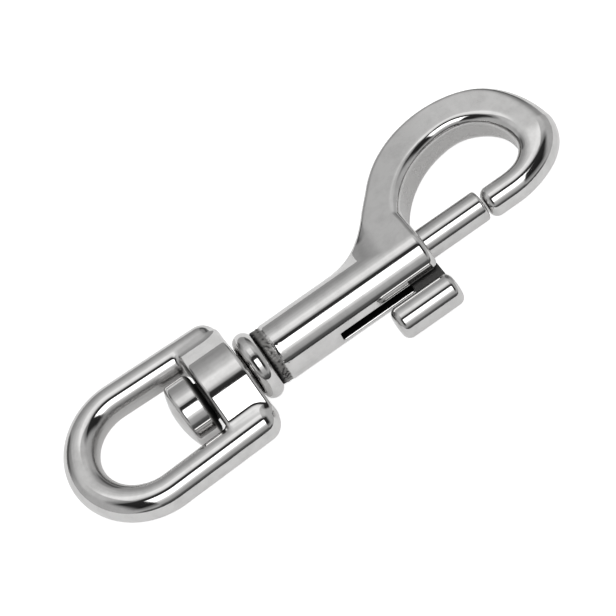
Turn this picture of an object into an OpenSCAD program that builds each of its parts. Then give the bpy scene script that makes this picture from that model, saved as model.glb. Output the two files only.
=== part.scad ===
// Swivel snap hook: a cast hook with a sprung bolt, and an eye that turns on a headed pin.
// It lies on its side. +X runs along the barrel towards the mouth of the hook, +Y towards
// the back of the hook, and +Z up. The origin is on the ground, under the middle of it all.

/* [Barrel] */
// Diameter of the barrel
barrel_d = 9.4; // [8.8:0.1:12]
// Length of the barrel, from the neck to the mouth of the hook
barrel_len = 27; // [26:0.1:40]
// Length of the bare neck between the collar and the barrel
neck_len = 1.5; // [0.8:0.1:3]
// Diameter of the bare neck
neck_d = 9; // [7.8:0.1:9.2]
// Width of the slot that the thumb bar's stem slides in
slot_w = 1.9; // [1.5:0.1:2.5]
// Length of the slot, back from the mouth
slot_len = 17.7; // [14:0.1:19]

/* [Bolt] */
// Diameter of the sliding bolt
bolt_d = 5; // [4:0.1:5.2]
// Length of bolt that shows when the mouth is shut
bolt_reach = 10.7; // [9:0.1:12]
// How far the bolt lies from the barrel's middle, towards the back of the hook
bolt_rise = 0.6; // [0:0.1:0.6]
// Diameter of the thumb bar
thumb_d = 5.2; // [4:0.1:7]
// Length of the thumb bar
thumb_len = 10.6; // [8:0.1:14]
// Gap between the barrel and the thumb bar
thumb_gap = 1.3; // [0.6:0.1:3]
// Length of the flat stem that joins the thumb bar to the bolt
stem_len = 5; // [3:0.1:6]
// Depth that the stem is let into the bolt
stem_seat = 2.4; // [1.5:0.1:3]

/* [Hook] */
// Height of the hook's back above the barrel's middle
hook_rise = 19.6; // [17:0.1:24]
// Width of the hook at its crown, seen from above
crown_w = 5.8; // [4.8:0.1:7]
// Width of the hook at its far side, seen from above
side_w = 6.8; // [5:0.1:7.6]
// Thickness of the hook at its crown
crown_t = 6; // [5:0.1:7]
// Thickness of the web where it leaves the barrel
web_t = 9.2; // [8:0.1:9.2]
// Length of the mouth, from the barrel to the far side of the hook
mouth_len = 20.4; // [19:0.1:26]
// Radius of the long curve over the hook's back
back_r = 17.5; // [16:0.1:22]
// Radius of the fillet between the barrel and the hook's back
root_r = 12; // [6:0.1:13]
// Diameter of the round arm that ends in the nose
nose_d = 4.9; // [4:0.1:5.6]
// Rounding of the outer edges of the hook
rim_r = 0.7; // [0.3:0.05:1.2]
// Rounding of the inner edges of the hook
inner_r = 1.5; // [0.5:0.05:2]

/* [Swivel eye] */
// Diameter of the round bar that the eye is made of
eye_wire_d = 5.5; // [4:0.1:6.6]
// Radius of the eye's bow, to the middle of the bar
eye_bow_r = 9.5; // [9:0.1:13]
// Inside length of the eye, from the bow to the cross bar
eye_in_len = 18.4; // [17:0.1:28]
// How far each side of the eye leans in towards the cross bar, in degrees
eye_lean = 2; // [0:0.5:3]
// Width of the cross bar, along the pin
bar_w = 7; // [6:0.1:9]
// Thickness of the cross bar where the pin goes through
bar_t = 11.4; // [10.6:0.1:13]

/* [Swivel pin and collar] */
// Diameter of the swivel pin
pin_d = 6.3; // [6.3:0.1:6.8]
// Diameter of the pin's head
head_d = 10.3; // [9:0.1:11]
// Thickness of the head at its rim
head_t = 4; // [2:0.1:5]
// Height of the dome on the head
head_dome = 1.1; // [0.3:0.1:1.5]
// Rounding of the head's edge towards the cross bar
head_edge = 1.1; // [0.3:0.1:1.5]
// Gap between the head and the cross bar
head_gap = 0.5; // [0.2:0.05:1]
// Diameter of the collar bead
collar_d = 11; // [10:0.1:12]
// Length of the collar bead
collar_w = 3.2; // [2.4:0.1:4]
// Depth that the pin is pressed into the neck and the barrel
pin_seat = 4.6; // [3:0.1:6]

/* [Spring] */
// Diameter of the spring's wire
spring_wire_d = 0.5; // [0.3:0.05:0.55]
// Turns in the spring
spring_turns = 8; // [5:1:9]

/* [Fits] */
// Gap between parts that move past each other
play = 0.3; // [0.2:0.05:0.4]
// Clearance all round the bolt and the swivel pin where they run
run_fit = 0.08; // [0.03:0.01:0.1]
// Clearance all round a part that is pressed in
press_gap = 0.01; // [0.005:0.005:0.02]

/* [Hidden] */
$fn = 96;

// Places along the barrel, measured from the mouth face of the barrel
neck_x = -barrel_len - neck_len;
bar_front_x = neck_x - collar_w - play;
bar_back_x = bar_front_x - bar_w;
head_front_x = bar_back_x - head_gap;
head_rim_x = head_front_x - head_t;
pin_end_x = neck_x + pin_seat;
bow_x = bar_back_x - eye_in_len + eye_bow_r - eye_wire_d / 2;
eye_end_x = bow_x - eye_bow_r - eye_wire_d / 2;
stem_front_x = -0.1;
stem_back_x = stem_front_x - stem_len;
bolt_back_x = stem_back_x - bolt_d / 4;
thumb_front_x = 0.2;
nose_x = bolt_reach + play;

// Places across the hook
thumb_y = -barrel_d / 2 - thumb_gap - thumb_d / 2;
rail_y = eye_bow_r - (bar_front_x - bow_x) * tan(eye_lean);
side_len = (bar_front_x - bow_x - eye_bow_r * sin(eye_lean)) / cos(eye_lean);
stem_w = slot_w - 2 * play;
bolt_bore_d = bolt_d + 2 * run_fit;
eye_bore_d = pin_d + 2 * run_fit;

// The hook's curves, seen from above. The hub is the middle of the mouth's round part.
far_r = 7.3;
hub = [mouth_len - far_r, 6.3];
// Slope of the straight part of the back, and where the back hands over to the round far side
back_slope = 50;
round_turn = 15;
far_x = mouth_len + side_w;
back_c = [hub[0] - 1, hook_rise - back_r];
round_r = (far_x - back_c[0] - back_r * sin(round_turn)) / (1 - sin(round_turn));
round_c = back_c + (back_r - round_r) * [sin(round_turn), cos(round_turn)];
back_end = back_c + back_r * [-sin(back_slope), cos(back_slope)];
crown_in = hook_rise - crown_w;
mouth_root = 5.5;
mouth_drop = crown_in - mouth_root;
mouth_r = (hub[0] * hub[0] + mouth_drop * mouth_drop) / (2 * mouth_drop);
mouth_c = [hub[0], crown_in - mouth_r];
root_run = root_r * tan(back_slope / 2);
root_x = back_end[0] - (back_end[1] - barrel_d / 2) / tan(back_slope) - root_run;
root_c = [root_x, barrel_d / 2 + root_r];
root_end = root_c + root_r * [sin(back_slope), -cos(back_slope)];
// Where the far side has turned right round into the straight arm
arm_x = mouth_len - 4.9;

// Distance along a ray from the hub to a circle around it
function ray_to_circle(turn, c, r) =
    let (dir = [cos(turn), sin(turn)], to_c = c - hub, along = to_c * dir)
    along + sqrt(along * along - to_c * to_c + r * r);
// Distance along a ray from the hub to the straight part of the hook's back
function ray_to_back(turn) =
    let (n = [-sin(back_slope), cos(back_slope)], dir = [cos(turn), sin(turn)])
    ((back_end - hub) * n) / (dir * n);
function turn_of(p) = atan2(p[1] - hub[1], p[0] - hub[0]);
round_start = turn_of(back_c + back_r * [sin(round_turn), cos(round_turn)]);
back_start = turn_of(back_end);
web_start = turn_of(root_end);
function outer_reach(turn) =
    turn > back_start ? ray_to_back(turn)
    : turn > round_start ? ray_to_circle(turn, back_c, back_r)
    : ray_to_circle(turn, round_c, round_r);
function inner_reach(turn) =
    let (far = mouth_len - hub[0], up = crown_in - hub[1])
    turn > 90 ? ray_to_circle(turn, mouth_c, mouth_r)
    : far * up / sqrt(pow(far * sin(turn), 2) + pow(up * cos(turn), 2));

// Half the hook's thickness at a place seen from above: the web thins away from the barrel
function smooth(u) = let (v = max(0, min(1, u))) v * v * (3 - 2 * v);
web_y0 = 1;
web_x0 = 2;
web_run = 14;
web_fall = (web_t - crown_t) / 2 / (hook_rise - web_y0);
function half_t(p) =
    crown_t / 2
    + web_fall * max(0, hook_rise - max(web_y0, p[1])) * (1 - smooth((p[0] - web_x0) / web_run));

// One cross section of the hook, between an outer and an inner point seen from above.
// top is the most that half the thickness may be, and the corners are rounded.
corner_steps = 4;
function section(outer, inner, top, rim, inside) =
    let (mid = (outer + inner) / 2, w = norm(outer - inner) / 2, dir = (outer - inner) / (2 * w))
    [for (corner = [0:3], i = [0:corner_steps])
        let (
            r = (corner == 0 || corner == 3) ? rim : inside,
            turn = 90 * (corner + (i + 0.5) / (corner_steps + 1)),
            along = sign_of(corner == 0 || corner == 3) * (w - r) + r * cos(turn),
            flat = mid + along * dir,
            half = min(top, half_t(flat)),
            z = sign_of(corner < 2) * (half - r) + r * sin(turn)
        ) [flat[0], flat[1], z]];
function sign_of(yes) = yes ? 1 : -1;

// The web's root: its outer edge follows the fillet, and its inner edge runs through the
// barrel from root_back to the mouth face
root_steps = 5;
root_back = -6.6;
root_top = 1.4;
function root_section(i) =
    let (
        u = i / root_steps,
        outer = root_c + root_r * [sin(back_slope * u), -cos(back_slope * u)],
        inner = [root_back * pow(1 - u, 1.9), 0.2 + (mouth_root - 0.1 - 0.2) * u * u],
        top = root_top + (web_t / 2 - root_top) * sin(90 * u)
    )
    section(outer, inner, top, min(rim_r, top / 2), min(inner_r, top / 2));
// On the far side the outer edges are nearly fully round, and the inner edges stay tighter
side_half = side_w / 2 - 0.25;
rim_share = 0.85;
inside_share = 0.5;
side_rim = rim_r + (side_half - rim_r) * rim_share;
side_inside = inner_r + (side_half - inner_r) * inside_share;
// Round the back, the crown and the far side
ring_steps = 26;
function ring_section(i) =
    let (
        turn = web_start * (1 - i / ring_steps),
        dir = [cos(turn), sin(turn)],
        fade = smooth(1 - turn / 40)
    )
    section(hub + outer_reach(turn) * dir, hub + inner_reach(turn) * dir, web_t,
            rim_r + (side_rim - rim_r) * fade, inner_r + (side_inside - inner_r) * fade);
// Down the far side into the round arm
arm_steps = 10;
function arm_section(i) =
    let (
        turn = 90 * i / arm_steps,
        wide = far_x - side_w / 2 - arm_x,
        mid = [arm_x + wide * cos(turn), hub[1] - hub[1] * sin(turn)],
        across = [cos(turn) / wide, -sin(turn) / hub[1]],
        dir = across / norm(across),
        blend = smooth(i / arm_steps * 1.25),
        w = side_w / 2 + (nose_d / 2 - side_w / 2) * blend,
        top = crown_t / 2 + (nose_d / 2 - crown_t / 2) * blend
    )
    section(mid + w * dir, mid - w * dir, top,
            min(w, top, side_rim + (nose_d / 2 - side_rim) * blend),
            min(w, top, side_inside + (nose_d / 2 - side_inside) * blend));
// The straight arm and the rounded end of the nose
nose_edge = 1.3;
nose_steps = 5;
function nose_section(i) =
    let (
        turn = 90 * i / nose_steps,
        x = nose_x + nose_edge * (1 - sin(turn)),
        r = nose_d / 2 - nose_edge * (1 - cos(turn))
    )
    section([x, -r], [x, r], r, r, r);

function sweep_faces(rings, sides) = concat(
    [[for (j = [0:sides - 1]) j]],
    [for (i = [0:rings - 2], j = [0:sides - 1]) let (k = (j + 1) % sides)
        each [
            [i * sides + j, (i + 1) * sides + j, (i + 1) * sides + k],
            [i * sides + j, (i + 1) * sides + k, i * sides + k]
        ]],
    [[for (j = [0:sides - 1]) rings * sides - 1 - j]]
);
module sweep(rings) {
    points = [for (ring = rings) each ring];
    polyhedron(points = points, faces = sweep_faces(len(rings), len(rings[0])), convexity = 6);
}

// Turns a shape drawn about Z so that its Z runs along +X
module along_x(x) {
    translate([x, 0, 0]) rotate([0, 90, 0]) children();
}
module rod_x(d, x0, x1) {
    along_x(x0) cylinder(d = d, h = x1 - x0);
}
// A quarter round between two edges, as points of an outline
function quarter(c, r, from) = [for (i = [0:6]) c + r * [cos(from + 15 * i), sin(from + 15 * i)]];

// A round bar along X with rounded ends
module round_bar(d, x0, x1, edge0, edge1) {
    along_x(x0) rotate_extrude()
        polygon(concat(
            [[0, 0]],
            quarter([d / 2 - edge0, edge0], edge0, -90),
            quarter([d / 2 - edge1, x1 - x0 - edge1], edge1, 0),
            [[0, x1 - x0]]
        ));
}

barrel_edge = 0.8;
module hook_body() {
    color("silver") difference() {
        union() {
            round_bar(barrel_d, -barrel_len, 0, 0.3, barrel_edge);
            rod_x(neck_d, neck_x, 1 - barrel_len);
            hook_curve();
        }
        // Bore for the bolt and its spring, and the wider bore for the pin
        translate([0, bolt_rise, 0]) rod_x(bolt_bore_d, pin_end_x - 0.5, 1);
        rod_x(pin_d + 2 * press_gap, neck_x - 1, pin_end_x);
        // Slot for the thumb bar's stem, open at the mouth
        translate([-slot_len, -barrel_d, -slot_w / 2]) cube([slot_len + 1, barrel_d, slot_w]);
    }
}
module hook_curve() {
    sweep(concat(
        [for (i = [0:root_steps - 1]) root_section(i)],
        [for (i = [0:ring_steps - 1]) ring_section(i)],
        [for (i = [0:arm_steps]) arm_section(i)],
        [for (i = [0:nose_steps]) nose_section(i)]
    ));
}

module bolt_rod() {
    color("gainsboro") difference() {
        translate([0, bolt_rise, 0]) round_bar(bolt_d, bolt_back_x, bolt_reach, 0.3, 0.5);
        stem_block(press_gap);
    }
}
// The flat stem, from the thumb bar into the bolt, with a clearance all round
module stem_block(gap) {
    top_y = bolt_rise - bolt_d / 2 + stem_seat + gap;
    translate([stem_back_x - gap, thumb_y, -stem_w / 2 - gap])
        cube([stem_len + 2 * gap, top_y - thumb_y, stem_w + 2 * gap]);
}

thumb_edge = 1.2;
module thumb_bar() {
    color("gainsboro") union() {
        translate([0, thumb_y, 0])
            round_bar(thumb_d, thumb_front_x - thumb_len, thumb_front_x, thumb_edge, thumb_edge);
        stem_block(0);
    }
}

// The spring's end turns are closed, and the turns between share the rest of its length
spring_d = bolt_d - 2 * play - spring_wire_d;
spring_sides = 8;
spring_turn_steps = 16;
spring_rings = spring_turns * spring_turn_steps;
spring_gap = 0.02;
spring_x0 = pin_end_x + spring_gap + spring_wire_d / 2;
spring_x1 = bolt_back_x - spring_gap - spring_wire_d / 2;
function spring_x(turns) =
    let (closed = spring_wire_d * 1.04, open = spring_x1 - spring_x0 - 2 * closed)
    spring_x0 + closed * min(turns, 1) + closed * max(0, turns - spring_turns + 1)
    + open * max(0, min(1, (turns - 1) / (spring_turns - 2)));
module return_spring() {
    color("darkgray") translate([0, bolt_rise, 0]) sweep([
        for (i = [0:spring_rings])
            let (turns = i / spring_turn_steps, turn = 360 * turns)
            [for (j = [0:spring_sides - 1])
                let (
                    face = 360 * j / spring_sides,
                    r = spring_d / 2 + spring_wire_d / 2 * cos(face)
                )
                [spring_x(turns) + spring_wire_d / 2 * sin(face), r * cos(turn), r * sin(turn)]]
    ]);
}

module swivel_collar() {
    bead = collar_w / 2;
    color("silver") difference() {
        along_x(neck_x - collar_w) rotate_extrude() difference() {
            union() {
                translate([collar_d / 2 - bead, bead]) circle(r = bead);
                square([collar_d / 2 - bead, collar_w]);
            }
            translate([-collar_d, -1]) square([collar_d, collar_w + 2]);
        }
        rod_x(eye_bore_d, neck_x - collar_w - 1, neck_x + 1);
    }
}

module swivel_pin() {
    // The dome is part of a ball whose edge meets the head's rim
    rim = head_d / 2;
    dome_r = (rim * rim + head_dome * head_dome) / (2 * head_dome);
    color("gainsboro") union() {
        round_bar(head_d, head_rim_x, head_front_x, 0.05, head_edge);
        intersection() {
            translate([head_rim_x - head_dome + dome_r, 0, 0]) sphere(r = dome_r);
            rod_x(head_d - 0.1, head_rim_x - head_dome - 1, head_rim_x + 0.2);
        }
        round_bar(pin_d, head_front_x - 1, pin_end_x, 0.05, 0.4);
    }
}

// The cross bar's section: a crowned middle whose flanks fall into the round sides
bar_crown_r = 8.5;
bar_crown_turn = 25;
function bar_half(side) =
    [for (i = [0:6]) let (turn = bar_crown_turn * (1 - i / 3))
        side * [bar_crown_r * sin(turn), bar_t / 2 - bar_crown_r + bar_crown_r * cos(turn)]];
module bar_section() {
    flank = [rail_y - 0.5, eye_wire_d / 2 - 0.45];
    polygon(concat(
        [flank], bar_half(1), [[-flank[0], flank[1]]],
        [-flank], bar_half(-1), [[flank[0], -flank[1]]]
    ));
}
module swivel_eye() {
    turn = 90 + eye_lean;
    color("silver") difference() {
        union() {
            // Bow
            translate([bow_x, 0, 0]) rotate([0, 0, 180 - turn])
                rotate_extrude(angle = 2 * turn) translate([eye_bow_r, 0]) circle(d = eye_wire_d);
            // Sides, with ends rounded at the cross bar
            for (side = [-1, 1])
                translate([bow_x - eye_bow_r * cos(turn), side * eye_bow_r * sin(turn), 0])
                    rotate([0, 0, -side * eye_lean])
                        round_bar(eye_wire_d, 0, side_len, 0.01, eye_wire_d / 2 - 0.01);
            // Cross bar
            translate([bar_back_x, 0, 0])
                rotate([90, 0, 90]) linear_extrude(bar_w) bar_section();
        }
        rod_x(eye_bore_d, bar_back_x - 1, bar_front_x + 1);
    }
}

// The middle of the whole hook, and its lowest point, set where it stands
left_y = max(hook_rise, eye_bow_r + eye_wire_d / 2);
right_y = max(thumb_d / 2 - thumb_y, eye_bow_r + eye_wire_d / 2);
low_z = max(bar_t, collar_d, barrel_d, head_d) / 2;
module stand() {
    translate([-(far_x + eye_end_x) / 2, (right_y - left_y) / 2, low_z]) children();
}

stand() hook_body();
stand() bolt_rod();
stand() thumb_bar();
stand() return_spring();
stand() swivel_collar();
stand() swivel_pin();
stand() swivel_eye();
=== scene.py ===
"""Swivel snap hook: polished castings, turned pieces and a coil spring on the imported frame."""

import math

import bmesh
import bpy
import numpy as np
import openvdb
from mathutils import Matrix, Vector


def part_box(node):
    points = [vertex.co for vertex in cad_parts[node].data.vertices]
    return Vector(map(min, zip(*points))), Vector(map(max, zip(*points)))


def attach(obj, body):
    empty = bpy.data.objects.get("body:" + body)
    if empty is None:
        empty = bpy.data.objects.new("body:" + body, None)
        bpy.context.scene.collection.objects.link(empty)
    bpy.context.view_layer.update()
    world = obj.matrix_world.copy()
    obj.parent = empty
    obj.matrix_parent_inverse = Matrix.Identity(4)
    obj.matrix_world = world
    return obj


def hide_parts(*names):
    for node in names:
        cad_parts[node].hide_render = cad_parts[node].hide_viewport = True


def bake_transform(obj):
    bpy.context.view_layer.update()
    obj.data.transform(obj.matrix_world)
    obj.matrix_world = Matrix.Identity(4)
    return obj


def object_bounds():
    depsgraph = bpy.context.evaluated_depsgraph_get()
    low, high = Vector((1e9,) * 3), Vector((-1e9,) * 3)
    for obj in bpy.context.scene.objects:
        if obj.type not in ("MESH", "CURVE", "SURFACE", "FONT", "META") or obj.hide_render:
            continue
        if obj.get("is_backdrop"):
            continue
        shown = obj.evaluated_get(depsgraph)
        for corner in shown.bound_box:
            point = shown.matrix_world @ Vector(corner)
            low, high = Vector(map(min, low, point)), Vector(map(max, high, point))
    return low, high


bl_info = {
    "name": "Swivel Snap Hook",
    "version": (1, 0, 0),
    "blender": (4, 5, 0),
    "location": "View3D > Sidebar > Snap Hook",
    "description": "Makes the polished pieces of a swivel snap hook on its packed frame",
    "category": "Object",
}

MM = 0.001
IMAGE_WIDTH = 616
# The skin attribute of each piece is 0 where the steel is polished, 1 where it is left as made,
# and from 1 to 2 where it carries painted shade, darker and darker towards near black, in
# crevices, bores and gaps
BOW_SKIN_AND_SHADE, MOUTH_SKIN_AND_SHADE = 0.4, 0.5
# Depths of the painted shade on the stem, the pin's head, the cross bar, the bores and the slot,
# and the near-black colour of that painted shade
STEM_PAINTED_SHADE = HEAD_PAINTED_SHADE = 1.75
BAR_PAINTED_SHADE, BORE_PAINTED_SHADE, SLOT_PAINTED_SHADE = 1.85, 1.9, 2.0
PAINTED_SHADE_COLOR = (0.012, 0.012, 0.012, 1.0)
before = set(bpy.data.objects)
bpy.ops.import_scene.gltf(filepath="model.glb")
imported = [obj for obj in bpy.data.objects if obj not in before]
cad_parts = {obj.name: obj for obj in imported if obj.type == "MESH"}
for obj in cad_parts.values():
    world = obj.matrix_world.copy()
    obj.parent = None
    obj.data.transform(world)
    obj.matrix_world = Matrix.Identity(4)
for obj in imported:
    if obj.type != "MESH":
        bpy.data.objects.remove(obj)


def node_box(node):
    """Lowest and highest corner of a CAD node, in millimetres."""
    low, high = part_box(node)
    return np.array(low) / MM, np.array(high) / MM


COLLAR_LOW, COLLAR_HIGH = node_box("swivel_collar")
BODY_HIGH = node_box("hook_body")[1]
BOLT_LOW, BOLT_HIGH = node_box("bolt_rod")
THUMB_LOW, THUMB_HIGH = node_box("thumb_bar")
PIN_LOW, PIN_HIGH = node_box("swivel_pin")
EYE_LOW, EYE_HIGH = node_box("swivel_eye")
SPRING_LOW, SPRING_HIGH = node_box("return_spring")
AXIS_Y, AXIS_Z = (COLLAR_LOW[1:] + COLLAR_HIGH[1:]) / 2
NECK_LEN = 1.5
BARREL_LEN = 27.0
MOUTH_X = COLLAR_HIGH[0] + NECK_LEN + BARREL_LEN
# The castings are worked out in millimetres from the middle of the barrel's mouth face
ORIGIN = np.array([MOUTH_X, AXIS_Y, AXIS_Z])


def length(name, about, millimetres):
    """A size that a user can change, shown in the scene's own units."""
    return bpy.props.FloatProperty(
        name=name, description=about, default=float(millimetres) * MM, min=0.0,
        unit="LENGTH", subtype="DISTANCE", precision=5,
    )


# --- Sizes and finishes -----------------------------------------------------


class SnapHookBodySizes(bpy.types.PropertyGroup):
    """Sizes of the cast barrel and hook"""

    barrel_d: length("Barrel Diameter", "Diameter of the barrel", 9.4)
    barrel_len: length("Barrel Length", "Length from the neck to the mouth", BARREL_LEN)
    neck_d: length("Neck Diameter", "Diameter of the bare neck", 9.0)
    neck_len: length("Neck Length", "Length of the bare neck", NECK_LEN)
    slot_w: length("Slot Width", "Width of the thumb bar's slot", 1.9)
    slot_len: length("Slot Length", "Length of the slot, back from the mouth", 17.7)
    hook_rise: length("Hook Rise", "Height of the back above the barrel's middle",
                      BODY_HIGH[1] - AXIS_Y)
    crown_w: length("Crown Width", "Width of the hook at its crown", 5.8)
    crown_t: length("Crown Thickness", "Thickness of the hook at its crown", 6.0)
    side_w: length("Side Width", "Width of the hook at its far side", 6.8)
    back_r: length("Back Radius", "Radius of the long curve over the back", 17.5)
    root_r: length("Root Fillet", "Radius between the barrel and the back", 12.0)
    nose_d: length("Nose Diameter", "Diameter of the round arm", 4.9)
    rim_r: length("Outer Edge", "Rounding of the hook's outer edges", 0.7)
    inner_r: length("Inner Edge", "Rounding of the hook's inner edges", 1.5)


class SnapHookTurnedSizes(bpy.types.PropertyGroup):
    """Sizes of the bolt, the thumb bar, the spring and the swivel pin"""

    bolt_d: length("Bolt Diameter", "Diameter of the sliding bolt", BOLT_HIGH[2] - BOLT_LOW[2])
    bolt_edge: length("Bolt Edge", "Rounding at the bolt's tip", 0.5)
    thumb_d: length("Thumb Bar Diameter", "Diameter of the thumb bar",
                    THUMB_HIGH[2] - THUMB_LOW[2])
    thumb_edge: length("Thumb Bar Edge", "Rounding at the thumb bar's ends", 1.2)
    stem_len: length("Stem Length", "Length of the flat stem, along the slot", 5.0)
    stem_w: length("Stem Thickness", "Thickness of the flat stem", 1.3)
    wire_d: length("Spring Wire", "Diameter of the spring's wire", 0.5)
    turns: bpy.props.IntProperty(name="Spring Turns", description="Turns in the spring",
                                 default=8, min=3, max=20)
    head_t: length("Head Thickness", "Thickness of the pin's head at its rim", 4.0)
    head_dome: length("Head Dome", "Height of the dome on the pin's head", 1.1)
    head_edge: length("Head Edge", "Rounding of the head towards the cross bar", 1.1)
    pin_d: length("Pin Diameter", "Diameter of the swivel pin", 6.3)
    run_fit: length("Running Clearance", "Clearance round the pin and the bolt", 0.08)


class SnapHookEyeSizes(bpy.types.PropertyGroup):
    """Sizes of the swivel eye"""

    wire_d: length("Eye Bar", "Diameter of the round bar of the eye", 5.5)
    bow_r: length("Bow Radius", "Radius of the bow, to the middle of the bar", 9.5)
    bar_w: length("Cross Bar Width", "Width of the cross bar, along the pin", 7.0)
    bar_edge: length("Cross Bar Edge", "Rounding of the cross bar's edges", 0.6)
    corner: length("Corner Blend", "How softly the sides run into the cross bar", 1.0)
    lean: bpy.props.FloatProperty(name="Lean", description="How far each side leans in",
                                  default=math.radians(2.0), subtype="ANGLE")


def tint(name, about, grey):
    """A metal's colour."""
    return bpy.props.FloatVectorProperty(name=name, description=about, default=grey,
                                         subtype="COLOR", size=3, min=0.0, max=1.0)


def share(name, about, value):
    """A plain number from none to full."""
    return bpy.props.FloatProperty(name=name, description=about, default=value,
                                   min=0.0, max=1.0, subtype="FACTOR")


class SnapHookFinish(bpy.types.PropertyGroup):
    """Colours and polish of the steel"""

    polished: tint("Polished Steel", "Colour of the mirror-polished castings",
                   (0.66, 0.655, 0.65))
    turned: tint("Turned Steel", "Colour of the turned pieces", (0.62, 0.615, 0.61))
    skin: tint("Cast Skin", "Colour where the casting is left unpolished", (0.17, 0.165, 0.16))
    wire: tint("Spring Wire", "Colour of the spring", (0.42, 0.415, 0.41))
    polish: share("Polish Roughness", "Roughness of the polished steel", 0.025)
    haze: share("Haze", "Extra roughness where the polish is cloudy", 0.07)
    wear: share("Scratches", "How deep the fine scratches are", 0.35)


# --- Node helpers -----------------------------------------------------------


def put(tree, kind, inputs=None, **settings):
    """Adds a node, with its settings and its inputs as values or links."""
    node = tree.nodes.new(kind)
    for key, value in settings.items():
        setattr(node, key, value)
    for key, value in (inputs or {}).items():
        if isinstance(value, bpy.types.NodeSocket):
            tree.links.new(value, node.inputs[key])
        else:
            node.inputs[key].default_value = value
    return node


def calc(tree, operation, *values):
    """One Math node's result."""
    node = put(tree, "ShaderNodeMath", dict(enumerate(values)), operation=operation)
    return node.outputs[0]


def new_tree(name, kind, outputs, inputs):
    """Opens a node tree with named sockets, and returns it with what it is given. An input
    is either its first value or the name of a kind of socket."""
    tree = bpy.data.node_groups.new(name, kind)
    for label, socket in outputs.items():
        tree.interface.new_socket(label, in_out="OUTPUT", socket_type="NodeSocket" + socket)
    for label, value in inputs.items():
        plain = not isinstance(value, str)
        socket = type(value).__name__.title() if plain else value
        made = tree.interface.new_socket(label, in_out="INPUT",
                                         socket_type="NodeSocket" + socket)
        if plain:
            made.default_value = value
    return tree, tree.nodes.new("NodeGroupInput").outputs


# --- Steel ------------------------------------------------------------------


def polish_marks():
    """Node group: the cloudiness and the fine marks that polishing leaves on steel."""
    found = bpy.data.node_groups.get("Polish Marks")
    if found:
        return found
    tree, given = new_tree(
        "Polish Marks", "ShaderNodeTree",
        {"Roughness": "Float", "Height": "Float", "Stain": "Float"},
        {"Vector": "Vector", "Polish": 0.07, "Haze": 0.1, "Scratches": 0.3, "Skin": 0.0})
    # Soft waves of a hand-held polishing wheel
    waves = put(tree, "ShaderNodeTexNoise",
                {"Vector": given["Vector"], "Scale": 140.0, "Detail": 1.0}).outputs["Fac"]
    cloud = put(tree, "ShaderNodeTexNoise",
                {"Vector": given["Vector"], "Scale": 420.0, "Detail": 4.0,
                 "Roughness": 0.6}).outputs["Fac"]
    haze = put(tree, "ShaderNodeMapRange",
               {"Value": cloud, "From Min": 0.42, "From Max": 0.72}).outputs[0]
    # Fine scratches, long one way and hair-thin the other
    marks = []
    for turn, stretch in ((0.35, (300.0, 9000.0, 4000.0)), (-0.9, (380.0, 7000.0, 5000.0))):
        laid = put(tree, "ShaderNodeMapping",
                   {"Vector": given["Vector"], "Rotation": (0.2, turn, turn),
                    "Scale": stretch}).outputs[0]
        line = put(tree, "ShaderNodeTexNoise",
                   {"Vector": laid, "Scale": 1.0, "Detail": 2.0}).outputs["Fac"]
        marks.append(put(tree, "ShaderNodeMapRange",
                         {"Value": line, "From Min": 0.62, "From Max": 0.78}).outputs[0])
    scratch = calc(tree, "MULTIPLY", calc(tree, "MAXIMUM", *marks), given["Scratches"])
    grain = put(tree, "ShaderNodeTexNoise",
                {"Vector": given["Vector"], "Scale": 2600.0, "Detail": 5.0,
                 "Roughness": 0.7}).outputs["Fac"]
    rough = calc(tree, "MULTIPLY_ADD", haze, given["Haze"], given["Polish"])
    rough = calc(tree, "MULTIPLY_ADD", scratch, 0.12, rough)
    rough = calc(tree, "MULTIPLY_ADD", given["Skin"],
                 calc(tree, "MULTIPLY_ADD", grain, 0.3, 0.28), rough)
    height = calc(tree, "MULTIPLY_ADD", scratch, -0.06, calc(tree, "MULTIPLY", waves, 0.5))
    height = calc(tree, "MULTIPLY_ADD",
                  calc(tree, "MULTIPLY", given["Skin"], grain), 1.6, height)
    stain = calc(tree, "MULTIPLY", haze, 0.16)
    stain = calc(tree, "MULTIPLY_ADD", scratch, 0.15, stain)
    put(tree, "NodeGroupOutput", {"Roughness": rough, "Height": height, "Stain": stain})
    return tree


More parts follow.
